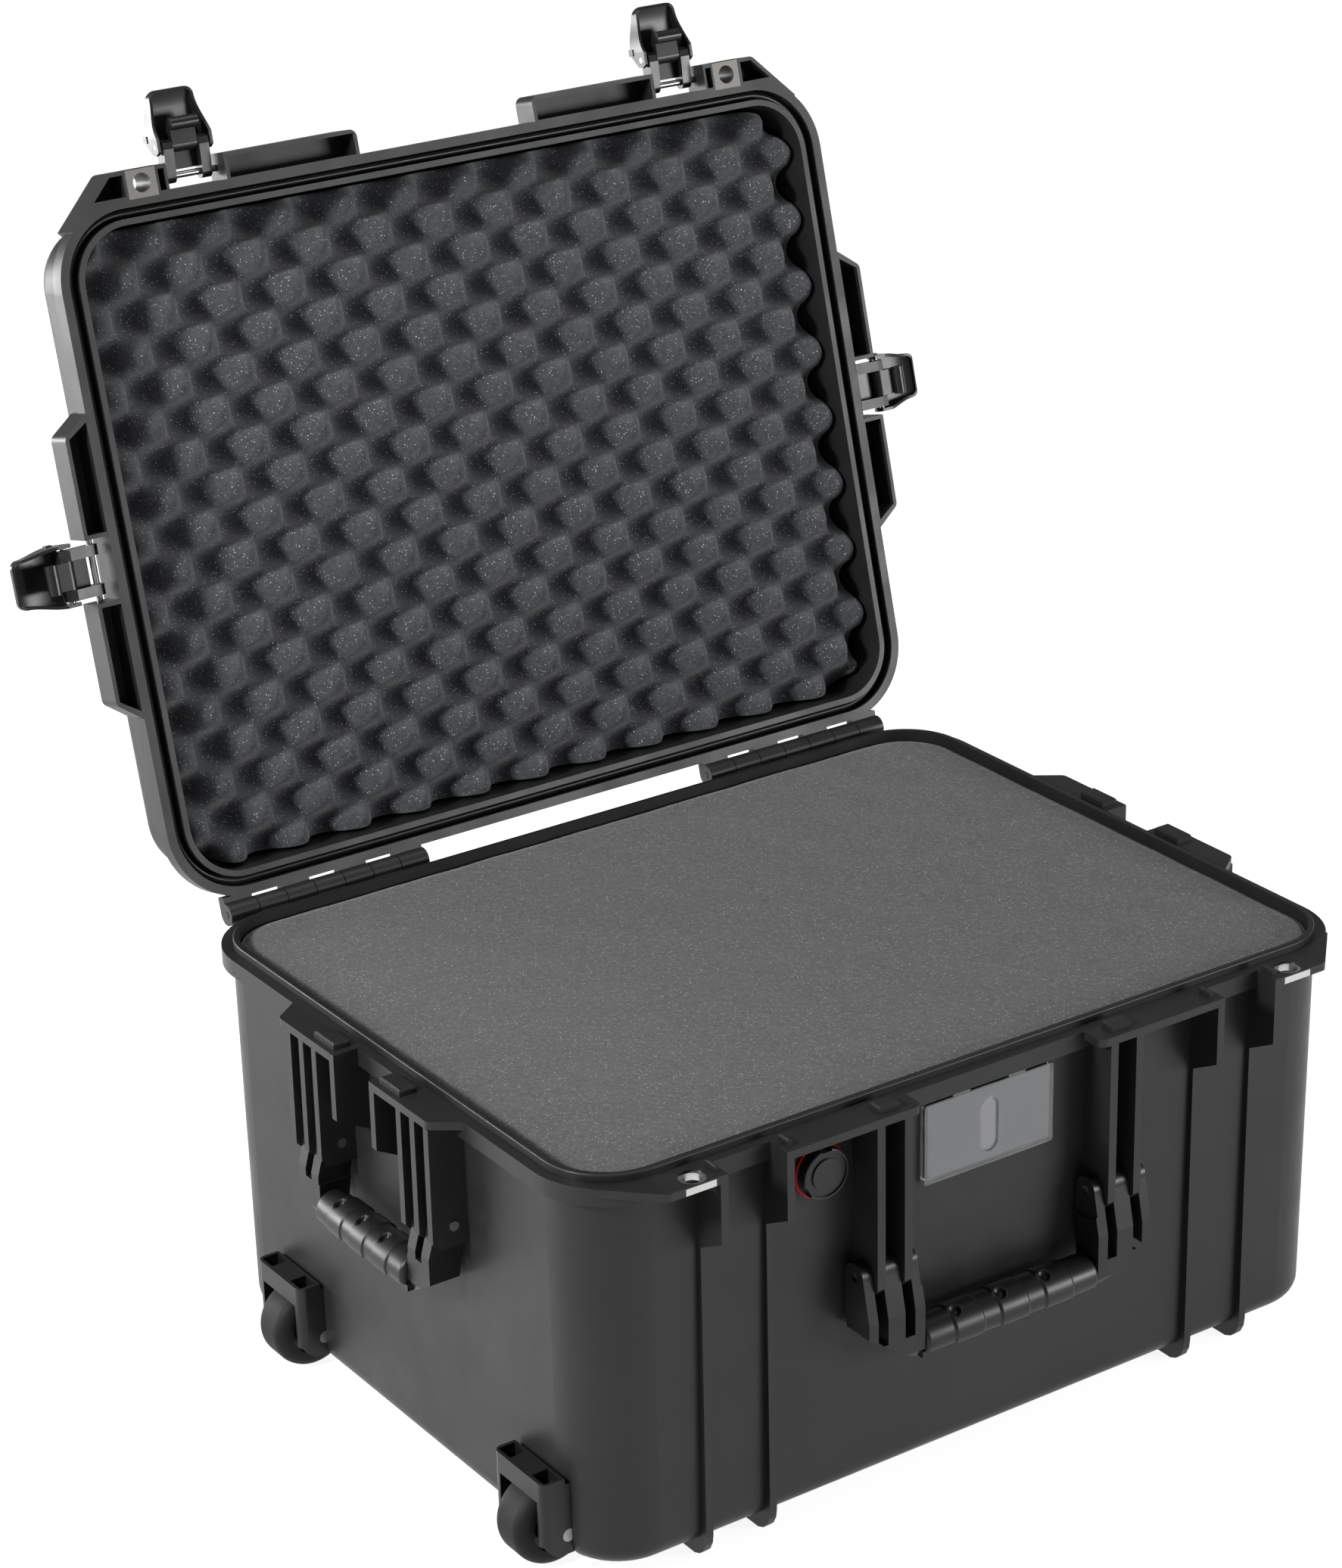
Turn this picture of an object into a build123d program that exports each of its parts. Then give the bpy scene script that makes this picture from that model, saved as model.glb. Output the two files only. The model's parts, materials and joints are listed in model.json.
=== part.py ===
"""Wheeled protective equipment case with a hinged lid, latches, carrying handles,
a telescoping pull handle and a foam interior.

Frame: +X runs along the long side (the wheels are at -X, the pull handle comes out at +X),
-Y is the front (latches and front handle), +Y is the hinge side, +Z is up and z = 0 is the ground.
The lid is drawn shut and then swung open to its rest position by open_lid(). All pieces are drawn
about the middle of the lower shell; write_nodes() then centres the whole open case on the origin.
"""
import os
from math import cos, radians, sin, tan

from build123d import *

os.makedirs("parts", exist_ok=True)

# ---------------------------------------------------------------- driving dimensions (mm)
inner_length = 535.0          # room for foam, along X
inner_width = 406.0           # room for foam, along Y
wall = 4.0                    # wall of the lower shell
shell_draft = 0.5             # degrees, both moulded shells
corner_radius = 42.0          # vertical corners of the lower shell, outside
base_floor_z = 9.0            # underside of the lower shell above the ground
base_height = 245.0           # lower shell, from its underside to the parting plane
floor_edge_radius = 12.0

rim_overhang = 6.7            # rim stands this far outside the wall
rim_height = 11.0
lip_thickness = 3.6           # raised sealing lip on the lower shell
lip_height = 4.5
flange_front = 16.0           # front flange beyond the rim
flange_end = 16.1             # end flanges beyond the rim
flange_thickness = 5.0
parting_gap = 0.5             # between the two shells when shut

lid_wall = 5.0
lid_height = 60.0             # parting plane to the top panel
lid_rib_height = 5.0
lid_ring_height = 14.0        # solid band that carries the seal
lid_flange_height = 20.0
lid_skin = 2.5                # walls of the pocketed lid flanges
lid_open_angle = 104.7        # degrees, the lid rests here on its stop

seal_diameter = 5.4
seal_groove_width = 6.2
seal_groove_depth = 10.2

gusset_thickness = 5.0
gusset_height = 42.0
latch_gap_half = 19.5         # half the space between two gussets
front_latch_x = 176.5         # latch centre from the middle of the case
end_latch_y = -1.0            # end latches sit a little off the middle

fin_thickness = 5.5
front_fin_offsets = (74.0, 93.0)
front_fin_drop = 112.0        # lower end of the front fins below the parting plane
end_fin_thickness = 5.0
end_fin_offsets = (46.5, 61.0, 75.5)
end_fin_drop = 82.0
end_handle_y = -5.0
front_pivot_drop = 101.0
end_pivot_drop = 69.0
front_pivot_out = 10.5        # pivot outside the wall
end_pivot_out = 8.8
front_grip_drop = 51.0        # grip centre below its pivot
end_grip_drop = 41.0
front_grip_out = 4.5          # grip centre outside its pivot
end_grip_out = 7.0
handle_front_side = 14.0      # how far the frame reaches outside its pivot
handle_eye_radius = 8.4
grip_radius = 13.5
handle_pin_radius = 3.0
running_clearance = 0.08
side_clearance = 0.75         # handle prong to fin, and latch cheek to gusset

hinge_offset = 8.5            # hinge axis behind the rim
hinge_radius = 7.0
hinge_pin_radius = 2.5
hinge_inner_x = 108.0
hinge_outer_x = 250.0
knuckles = 7
knuckle_gap = 0.6

wheel_radius = 26.0
wheel_width = 28.0
wheel_ground_gap = 1.0
wheel_positions = {"front": -150.0, "rear": 117.0}
wheel_inset = 0.8             # axle outside the wall
axle_radius = 4.0
hub_radius = 16.0
bearing_radius = 8.0
bearing_width = 7.0
housing_half = 25.3
housing_slot_half = 19.0
housing_proud = 15.5
housing_rise = 37.0           # top of the wheel housing above the axle
housing_fall = 12.0           # bottom of the wheel housing below the axle

trolley_tube_y = 48.0
trolley_axis_z = 23.0
trolley_guide_radius = 9.0
trolley_tube_wall = 0.9
trolley_travel = 390.0
trolley_channel_half = 60.0
trolley_channel_top = 34.0
trolley_cover_thickness = 3.0

foam_clearance = 0.6
foam_layers = ("foam_floor_layer", "foam_middle_layer", "foam_upper_layer", "foam_top_layer")
foam_below_rim = 1.0          # top of the foam below the parting plane

# ---------------------------------------------------------------- derived places
parting_z = base_floor_z + base_height
half_x = inner_length / 2 + wall
half_y = inner_width / 2 + wall
draft_shrink = base_height * tan(radians(shell_draft))
rim_x = half_x + rim_overhang
rim_y = half_y + rim_overhang
flange_y = rim_y + flange_front
flange_x = rim_x + flange_end
hinge_y = rim_y + hinge_offset
hinge_z = parting_z
lid_z = parting_z + parting_gap
wheel_x = -(half_x - draft_shrink + wheel_inset)
wheel_z = wheel_radius + wheel_ground_gap
latch_pivot_z = parting_z + 14.0
latch_pivot_in = 8.5          # latch pivot inside the flange edge
latch_pin_radius = 2.0
link_pin_radius = 1.75


# ---------------------------------------------------------------- small helpers
def block(x0, x1, y0, y1, z0, z1):
    """Box between two opposite corners."""
    size = Box(abs(x1 - x0), abs(y1 - y0), abs(z1 - z0))
    return Pos((x0 + x1) / 2, (y0 + y1) / 2, (z0 + z1) / 2) * size


def rounded(hx, hy, radius, z0, z1, draft=0.0):
    """Rounded rectangular prism; a positive draft widens it upwards."""
    sketch = Pos(0, 0, z0) * RectangleRounded(2 * hx, 2 * hy, radius)
    return extrude(sketch, amount=z1 - z0, taper=-draft)


def rod_x(radius, x0, x1, y, z):
    """Cylinder along X."""
    return Pos((x0 + x1) / 2, y, z) * Rot(0, 90, 0) * Cylinder(radius, abs(x1 - x0))


def rod_y(radius, y0, y1, x, z):
    """Cylinder along Y."""
    return Pos(x, (y0 + y1) / 2, z) * Rot(90, 0, 0) * Cylinder(radius, abs(y1 - y0))


def rod_z(radius, z0, z1, x, y):
    """Cylinder along Z."""
    return Pos(x, y, (z0 + z1) / 2) * Cylinder(radius, abs(z1 - z0))


def plate_yz(points, x0, x1):
    """Polygon in the YZ plane, given as (y, z) pairs, extruded from x0 to x1."""
    face = make_face(Polyline(*[(x0, y, z) for y, z in points], close=True))
    return extrude(face, amount=x1 - x0, dir=(1, 0, 0))


def plate_xy(points, z0, z1):
    """Polygon in the XY plane extruded from z0 to z1."""
    face = make_face(Polyline(*[(x, y, z0) for x, y in points], close=True))
    return extrude(face, amount=z1 - z0, dir=(0, 0, 1))


def both_x(shape):
    """The shape and its mirror image across the YZ plane, as one list."""
    return [shape, mirror(shape, about=Plane.YZ)]


def open_lid(shape):
    """Swing a piece of the shut lid to its open rest position."""
    swing = Pos(0, hinge_y, hinge_z) * Rot(-lid_open_angle, 0, 0) * Pos(0, -hinge_y, -hinge_z)
    return swing * shape


def to_left_end(shape):
    """Turn a piece drawn for the front so that its front faces -X."""
    return Rot(0, 0, -90) * shape


def to_right_end(shape):
    """Turn a piece drawn for the front so that its front faces +X."""
    return Rot(0, 0, 90) * shape


nodes = {}


def save(name, shape):
    """Keep one node for writing; a list becomes a group of separate solids."""
    if isinstance(shape, (list, tuple)):
        solids = [s for item in shape for s in item.solids()]
        shape = Compound(children=solids)
    elif len(shape.solids()) == 1:
        shape = shape.solids()[0]
    nodes[name] = shape


def write_nodes():
    """Write every node, moved along Y so that the whole object is centred on the origin."""
    boxes = [shape.bounding_box() for shape in nodes.values()]
    middle = (min(box.min.Y for box in boxes) + max(box.max.Y for box in boxes)) / 2
    for name, shape in nodes.items():
        export_step(Pos(0, -middle, 0) * shape, f"parts/{name}.step")


# ---------------------------------------------------------------- shared outlines
lower_hx = half_x - draft_shrink
lower_hy = half_y - draft_shrink
lower_radius = corner_radius - draft_shrink
tub_outside = rounded(lower_hx, lower_hy, lower_radius, base_floor_z, parting_z, shell_draft)
tub_outside = fillet(tub_outside.edges().group_by(Axis.Z)[0], floor_edge_radius)

rim_radius = corner_radius + rim_overhang
chamfer_outer_x = rim_x - 13.6        # front flange leaves the rounded rim here, at 45 degrees
chamfer_outer_y = rim_y - 13.6
chamfer_edge_x = chamfer_outer_x - (flange_y - chamfer_outer_y)
flange_inner_x = 64.0                 # front flange ends here, beside the handle
end_flange_half = 81.3
end_flange_root = 93.2

hasp_x = 213.4
hasp_half = 10.0
hasp_y = -(rim_y + 7.3)
hasp_hole_radius = 5.8
hasp_ring_radius = 8.0        # hole in the skin over the lower steel plate
hasp_skin = 0.8
wide_boss_x = (76.0, 90.3)
ridge_x = (151.0, 199.6)
ridge_half = 1.4
end_boss = (25.0, 47.0)


def front_flange(z0, z1):
    """Left half of the front flange with the latch gap cut out."""
    middle = (rim_x - rim_radius, rim_y - rim_radius)
    root = rim_radius - 3.2
    outline = [(-middle[0] - root * sin(radians(a)), -middle[1] - root * cos(radians(a)))
               for a in (0, 22.5, 45)]
    outline += [(-chamfer_outer_x, -chamfer_outer_y), (-chamfer_edge_x, -flange_y),
                (-flange_inner_x, -flange_y), (-flange_inner_x, -rim_y + 3.2)]
    plate = plate_xy(outline, z0, z1)
    ends = plate.edges().filter_by(Axis.Z).group_by(Axis.Y)[0]
    plate = fillet(ends, 5.0)
    gap_x = -front_latch_x
    return plate - block(gap_x - latch_gap_half, gap_x + latch_gap_half,
                         -flange_y - 1, -rim_y, z0 - 1, z1 + 1)


def end_flange(z0, z1):
    """End flange drawn facing -Y about the latch centre, reaching its full depth."""
    depth = flange_x
    outline = [
        (-end_flange_root, -rim_x + 4), (-end_flange_root, -rim_x), (-end_flange_half, -depth),
        (end_flange_half, -depth), (end_flange_root, -rim_x), (end_flange_root, -rim_x + 4)]
    plate = plate_xy(outline, z0, z1)
    ends = plate.edges().filter_by(Axis.Z).group_by(Axis.Y)[0]
    plate = fillet(ends, 5.0)
    return plate - block(-latch_gap_half, latch_gap_half, -depth - 1, -rim_x, z0 - 1, z1 + 1)


def gusset(x, front, root):
    """Web under a flange beside a latch gap, at one x, from the wall to the flange edge."""
    points = [(-front, parting_z - 0.1), (-front, parting_z - gusset_height),
              (-root, parting_z - gusset_height - 13), (-root, parting_z - 0.1)]
    return plate_yz(points, x - gusset_thickness / 2, x + gusset_thickness / 2)


def handle_fin(x, front, root, drop, thickness):
    """Thin post that carries a handle pin, rounded at its lower front corner."""
    top = parting_z - flange_thickness
    low = parting_z - drop
    points = [(-front, top), (-front, low + 5), (-front + 5, low), (-root, low), (-root, top)]
    return plate_yz(points, x - thickness / 2, x + thickness / 2)


def front_rib(x):
    """Shallow rib down the wall that becomes a foot under the case."""
    proud = 5.0
    top = parting_z - gusset_height - 8
    face = -half_y - 2.5
    foot = 62.0
    points = [(face, top), (face, base_floor_z + 7), (face + 0.8, base_floor_z + 1.5),
              (face + 3.2, 5.6), (face + 7, 2.0), (face + 12, 0), (-lower_hy + foot, 0),
              (-lower_hy + foot + 5, 2.0), (-lower_hy + foot + 9, base_floor_z + 2),
              (-half_y + 20, base_floor_z + 2),
              (-half_y + 12, base_floor_z + 14), (-half_y + 2, base_floor_z + 20),
              (-half_y + 2, top + proud)]
    return plate_yz(points, x - 2.4, x + 2.4)


def pivot_y(front=True):
    """Distance of a handle pivot from the middle plane of the case."""
    return half_y + front_pivot_out if front else half_x + end_pivot_out


# ---------------------------------------------------------------- lower shell
wheel_well_half = housing_half + 0.3
wheel_well_depth = 31.0
wheel_well_top = wheel_z + housing_rise - 3.4


def wheel_wells(grow):
    """Pockets in the left end that take the wheel housings."""
    wells = []
    for y in wheel_positions.values():
        wells.append(block(-half_x - 12, wheel_x + wheel_well_depth + grow,
                           y - wheel_well_half - grow, y + wheel_well_half + grow,
                           0, wheel_well_top + grow))
    return wells


def trolley_channel(grow):
    """Trough under the floor for the pull handle tubes."""
    return block(-half_x + 34 - grow, half_x + 12, -trolley_channel_half - grow,
                 trolley_channel_half + grow, 0, trolley_channel_top + grow)


housing_back = wheel_x + wheel_well_depth - 0.6
screw_radius = 1.6
housing_screw_points = [(housing_back, y + k * 22.2, wheel_well_top - 8.0)
                        for y in wheel_positions.values() for k in (-1, 1)]
boss_points = [(x, y) for x in (-200, -65, 70, 205) for y in (-28, 28)]


def knuckle_spans(side, owner):
    """X spans of the hinge knuckles of one hinge that belong to the lid or to the base."""
    step = (hinge_outer_x - hinge_inner_x) / knuckles
    first = 0 if owner == "lid" else 1
    spans = []
    for i in range(first, knuckles, 2):
        a = hinge_inner_x + i * step + knuckle_gap / 2
        b = hinge_inner_x + (i + 1) * step - knuckle_gap / 2
        spans.append((side * a, side * b) if side > 0 else (-b, -a))
    return spans


def knuckle(span, above):
    """One hinge knuckle with the arm that joins it to its rim."""
    low, high = (0.0, hinge_radius) if above else (-hinge_radius, 0.0)
    gap = parting_gap if above else 0.0
    barrel = rod_x(hinge_radius, span[0], span[1], hinge_y, hinge_z)
    arm = block(span[0], span[1], rim_y - 2.0, hinge_y, hinge_z + low + gap, hinge_z + high)
    bore = rod_x(hinge_pin_radius + (running_clearance if above else 0.0),
                 span[0] - 1, span[1] + 1, hinge_y, hinge_z)
    return barrel + arm - bore


def make_base_shell():
    cavity_hx = lower_hx - wall
    cavity_hy = lower_hy - wall
    cavity_floor = base_floor_z + wall
    rim = rounded(rim_x, rim_y, corner_radius + rim_overhang, parting_z - rim_height, parting_z)
    lip = rounded(inner_length / 2 + lip_thickness, inner_width / 2 + lip_thickness,
                  corner_radius - wall + lip_thickness, parting_z - 1, parting_z + lip_height)
    lip = fillet(lip.edges().group_by(Axis.Z)[-1], 1.0)
    cavity = rounded(cavity_hx, cavity_hy, lower_radius - wall, cavity_floor,
                     parting_z, shell_draft)
    cavity = fillet(cavity.edges().group_by(Axis.Z)[0], floor_edge_radius - wall)
    cavity += rounded(inner_length / 2, inner_width / 2, corner_radius - wall,
                      parting_z - 0.5, parting_z + lip_height + 1)
    lumps = wheel_wells(3.0) + [trolley_channel(3.0)]
    shell = tub_outside + rim + lip

    low = parting_z - flange_thickness
    extras = []
    extras += both_x(front_flange(low, parting_z))
    for turn in (to_left_end, to_right_end):
        sign = 1 if turn is to_left_end else -1
        extras.append(turn(Pos(-sign * end_latch_y, 0, 0) * end_flange(low, parting_z)))
    gusset_offset = latch_gap_half + gusset_thickness / 2
    for side in (-1, 1):
        for k in (-1, 1):
            x = side * front_latch_x + k * gusset_offset
            extras.append(gusset(x, flange_y, half_y - 2))
            extras.append(front_rib(x))
            extras.append(mirror(front_rib(x), about=Plane.XZ))
        for offset in front_fin_offsets:
            extras.append(handle_fin(side * offset, flange_y, half_y - 3,
                                     front_fin_drop, fin_thickness))
    for turn in (to_left_end, to_right_end):
        sign = 1 if turn is to_left_end else -1
        for k in (-1, 1):
            x = k * gusset_offset - sign * end_latch_y
            extras.append(turn(gusset(x, flange_x, half_x - 2)))
            for offset in end_fin_offsets:
                x = k * offset - sign * end_handle_y
                extras.append(turn(handle_fin(x, flange_x, half_x - 2,
                                              end_fin_drop, end_fin_thickness)))
    # bosses on the flanges that locate the lid
    for x0, x1 in [wide_boss_x] + [(x - ridge_half, x + ridge_half) for x in ridge_x]:
        boss = block(x0, x1, -rim_y - 11, -rim_y - 1.2, parting_z - 1, parting_z + 4.0)
        boss = chamfer(boss.edges().group_by(Axis.Z)[-1], 1.0)
        extras += both_x(boss)
    for side in (-1, 1):
        for k in (-1, 1):
            y = end_latch_y + k * (end_boss[0] + end_boss[1]) / 2
            half = (end_boss[1] - end_boss[0]) / 2
            boss = block(side * (rim_x + 1.2), side * (rim_x + 12.5), y - half, y + half,
                         parting_z - 1, parting_z + 4.0)
            extras.append(chamfer(boss.edges().group_by(Axis.Z)[-1], 1.0))
    for side in (-1, 1):
        for span in knuckle_spans(side, "base"):
            extras.append(knuckle(span, False))
    for extra in extras:
        shell += extra
    shell -= cavity
    for lump in lumps:
        shell += lump & tub_outside
    # ribs inside the channel carry the cover screws
    shell -= trolley_channel(0.0) - block(half_x - 14, half_x + 20, -70, 70, -1, 60)
    cover_top = base_floor_z + trolley_cover_thickness
    bosses = [rod_z(5.0, cover_top, trolley_channel_top + 1, x, y) for x, y in boss_points]
    for boss in bosses:
        shell += boss
    # room for the grip in the right end, and the two tubes through the end wall
    for y in (-trolley_tube_y, trolley_tube_y):
        shell -= rod_x(trolley_guide_radius, half_x - 40, half_x + 5, y, trolley_axis_z)
    for x, y in boss_points:
        shell -= rod_z(1.6, base_floor_z, cover_top + 14, x, y)
    # wells, axle housings' screws, pins and hasp plates
    for well in wheel_wells(0.0):
        shell -= well
    for x, y, z in housing_screw_points:
        shell -= rod_x(screw_radius + 0.2, x - 1, x + 5, y, z)
    for side in (-1, 1):
        shell -= front_pin(side)
        shell -= hasp_pocket(side)
    for turn, sign in ((to_left_end, 1), (to_right_end, -1)):
        for k in (-1, 1):
            shell -= turn(end_pin(k, sign))
    shell -= valve_bore()
    return shell


# ---------------------------------------------------------------- hasp plates
def hasp_pocket(side):
    """Pocket under a thin skin of the lower flange, and the wider hole through that skin."""
    pocket = block(side * (hasp_x - hasp_half), side * (hasp_x + hasp_half), -flange_y - 1,
                   -rim_y - 0.8, parting_z - flange_thickness - 1, parting_z - hasp_skin)
    return pocket + rod_z(hasp_ring_radius, parting_z - 3, parting_z + 3, side * hasp_x, hasp_y)


def make_hasp_plate_base(side):
    """Steel plate in the pocket, with the padlock hole."""
    plate = block(side * (hasp_x - hasp_half), side * (hasp_x + hasp_half), -flange_y + 0.1,
                  -rim_y - 0.8, parting_z - flange_thickness, parting_z - hasp_skin)
    return plate - rod_z(hasp_hole_radius, parting_z - 20, parting_z + 20, side * hasp_x, hasp_y)


def make_hasp_plate_lid(side):
    plate = block(side * (hasp_x - hasp_half), side * (hasp_x + hasp_half),
                  -flange_y + 0.3, -rim_y + 1.6, lid_z + 0.2, lid_z + 3.2)
    return plate - rod_z(hasp_hole_radius, lid_z - 5, lid_z + 20, side * hasp_x, hasp_y)


# ---------------------------------------------------------------- lid
def lid_pocket_front(x0, x1):
    """Pocket in the underside of the front flange of the lid between two x places."""
    return block(x0, x1, -flange_y + lid_skin, -rim_y - 0.6, lid_z - 1,
                 lid_z + lid_flange_height - 3)


def make_lid_shell():
    ring_hx = inner_length / 2 - 5.0
    ring_hy = inner_width / 2 - 5.0
    ring_radius = corner_radius - wall - 5.0
    ring_top = lid_z + lid_ring_height
    top_z = parting_z + lid_height
    body_hx = ring_hx + lid_wall
    body_hy = ring_hy + lid_wall
    rise = top_z - ring_top
    rim = rounded(rim_x, rim_y, corner_radius + rim_overhang, lid_z, ring_top)
    rim = chamfer(rim.edges().group_by(Axis.Z)[-1], 3.0)
    crown = rounded(body_hx, body_hy, ring_radius + lid_wall, ring_top - 1, top_z, -2.0)
    crown = fillet(crown.edges().group_by(Axis.Z)[-1], floor_edge_radius)
    cavity = rounded(ring_hx, ring_hy, ring_radius, lid_z - 1, top_z - lid_wall, -2.0)
    shell = rim + crown - cavity
    # seal groove over the lip of the lower shell
    lip_mid = lip_thickness / 2
    groove_hx = inner_length / 2 + lip_mid
    groove_hy = inner_width / 2 + lip_mid
    groove_radius = corner_radius - wall + lip_mid
    half_groove = seal_groove_width / 2
    groove = (rounded(groove_hx + half_groove, groove_hy + half_groove,
                      groove_radius + half_groove, lid_z - 1, lid_z + seal_groove_depth)
              - rounded(groove_hx - half_groove, groove_hy - half_groove,
                        groove_radius - half_groove, lid_z - 2, lid_z + seal_groove_depth + 1))
    shell -= groove
    # flanges, and the pockets under them
    high = lid_z + lid_flange_height
    for part in both_x(front_flange(lid_z, high)):
        shell += part
    for turn, sign in ((to_left_end, 1), (to_right_end, -1)):
        shell += turn(Pos(-sign * end_latch_y, 0, 0) * end_flange(lid_z, high))
    pockets = []
    gap_far = front_latch_x + latch_gap_half
    gap_near = front_latch_x - latch_gap_half
    slant = chamfer_edge_x + flange_y - lid_skin * 1.42   # x + y along the inside of the slant
    corner_pocket = plate_xy([(-slant + rim_y + 0.6, -rim_y - 0.6),
                              (-slant + flange_y - lid_skin, -flange_y + lid_skin),
                              (-hasp_x - hasp_half - 2, -flange_y + lid_skin),
                              (-hasp_x - hasp_half - 2, -rim_y - 0.6)],
                             lid_z - 1, high - 3)
    pockets += both_x(corner_pocket)
    pockets += both_x(lid_pocket_front(-(hasp_x - hasp_half) + 1.4, -gap_far - 1.6))
    pockets += both_x(lid_pocket_front(-gap_near + 2.5, -flange_inner_x - lid_skin))
    for turn, sign in ((to_left_end, 1), (to_right_end, -1)):
        for k in (-1, 1):
            near = k * (latch_gap_half + 2.5)
            edge = k * (end_flange_half - 1.5)
            root = k * (end_flange_root - 5.0)
            outline = [(near, -rim_x - 0.6), (near, -flange_x + lid_skin),
                       (edge, -flange_x + lid_skin), (root, -rim_x - 0.6)]
            pocket = plate_xy(outline, lid_z - 1, high - 3)
            pockets.append(turn(Pos(-sign * end_latch_y, 0, 0) * pocket))
    for pocket in pockets:
        shell -= pocket
    for side in (-1, 1):
        shell -= block(side * (hasp_x - hasp_half - 0.1), side * (hasp_x + hasp_half + 0.1),
                       -flange_y - 1, -rim_y + 1.7, lid_z - 1, lid_z + 3.2)
        shell -= rod_z(hasp_hole_radius, lid_z - 5, high + 5, side * hasp_x, hasp_y)
        for span in knuckle_spans(side, "lid"):
            shell += knuckle(span, True)
        # clear the base knuckles
        for a, b in knuckle_spans(side, "base"):
            shell -= rod_x(hinge_radius + 0.6, a - knuckle_gap / 2 + 0.01,
                           b + knuckle_gap / 2 - 0.01, hinge_y, hinge_z)
    # stacking ribs on the top panel
    for x in (-190, -95, 0, 95, 190):
        rib = Pos(x, 0, 0) * rounded(16, 150, 12, top_z - 2, top_z + lid_rib_height)
        rib = fillet(rib.edges().group_by(Axis.Z)[-1], 2.0)
        shell += rib
    for pin in latch_pivot_pins():
        shell -= pin
    return open_lid(shell)


def make_lid_gasket():
    """Round seal that lies at the bottom of the groove in the lid."""
    hx = inner_length / 2 + lip_thickness / 2
    hy = inner_width / 2 + lip_thickness / 2
    radius = corner_radius - wall + lip_thickness / 2
    z = lid_z + seal_groove_depth - seal_diameter / 2
    path = (Pos(0, 0, z) * RectangleRounded(2 * hx, 2 * hy, radius)).wire()
    start = path @ 0
    plane = Plane(origin=start, z_dir=path % 0)
    ring = sweep(plane * Circle(seal_diameter / 2), path=path)
    return open_lid(ring)


# ---------------------------------------------------------------- latches
def latch_places():
    """Name, turn and shift that carry a latch drawn at the origin to its place."""
    front_y = -(flange_y - latch_pivot_in)
    end_x = -(flange_x - latch_pivot_in)
    return {
        "front_left": Pos(-front_latch_x, front_y, latch_pivot_z),
        "front_right": Pos(front_latch_x, front_y, latch_pivot_z),
        "left_end": Rot(0, 0, -90) * Pos(-end_latch_y, end_x, latch_pivot_z),
        "right_end": Rot(0, 0, 90) * Pos(end_latch_y, end_x, latch_pivot_z),
    }


def latch_pivot_pins():
    """The four steel pins that carry the latch arms, on the shut lid."""
    reach = latch_gap_half + 2.2
    return [place * rod_x(latch_pin_radius, -reach, reach, 0, 0)
            for place in latch_places().values()]


arm_half = 15.4
link_y = -18.0                # lever pivot along the arm
link_z = -1.0
cheek_out = latch_gap_half - side_clearance


def make_latch_arm():
    """Arm with two side walls, a web between them and the roller bar that grips the rim."""
    ear_in = 8.8
    roller_y = -30.4
    roller_z = -7.0
    arm = block(-arm_half, arm_half, link_y - 4.0, -3.2, 1.2, 3.4)
    for side in (-1, 1):
        profile = [(0, 4.4), (0, -4.4), (link_y + 2, link_z - 5.4), (link_y - 2, link_z - 5.0),
                   (link_y - 4.0, link_z - 1.5), (link_y - 4.0, 3.4), (link_y + 8, 3.4)]
        x0, x1 = sorted((side * ear_in, side * arm_half))
        arm += plate_yz(profile, x0, x1) + rod_x(4.4, x0, x1, 0, 0)
    arm += rod_x(4.6, -ear_in, ear_in, link_y, link_z)
    neck = [(link_y, link_z - 4.6), (link_y, 3.0), (link_y - 4, 3.4), (roller_y - 1.1, -2.4),
            (roller_y - 3.0, -5.0), (roller_y, roller_z), (roller_y + 3.6, -5.4)]
    arm += plate_yz(neck, -8.3, 8.3)
    arm += rod_x(4.0, -9.0, 9.0, roller_y, roller_z)
    arm -= rod_x(latch_pin_radius + running_clearance, -20, 20, 0, 0)
    arm -= rod_x(link_pin_radius, -20, 20, link_y, link_z)
    return arm


lever_tip = -51.5
lever_tip_half = 15.6
lever_wall = 1.9


def lever_plan(inset):
    """Outline of the lever from above, narrower towards its tip, as a tall prism."""
    tip = lever_tip + inset
    points = [(lever_tip_half, tip), (lever_tip_half + 0.4, lever_tip + 13),
              (cheek_out - 0.6, link_y - 11), (cheek_out, link_y - 5)]
    right = Spline(*[(x - inset, y, -30) for x, y in points])
    left = Spline(*[(inset - x, y, -30) for x, y in points])
    wide = cheek_out - inset
    end = Polyline((wide, link_y - 5, -30), (wide, link_y + 12, -30),
                   (-wide, link_y + 12, -30), (-wide, link_y - 5, -30))
    front = Line((inset - lever_tip_half, tip, -30), (lever_tip_half - inset, tip, -30))
    prism = extrude(make_face(Wire([front, right, left] + list(end.edges()))),
                    amount=60, dir=(0, 0, 1))
    return fillet(prism.edges().filter_by(Axis.Z).group_by(Axis.Y)[0], 5.6 - inset)


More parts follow.
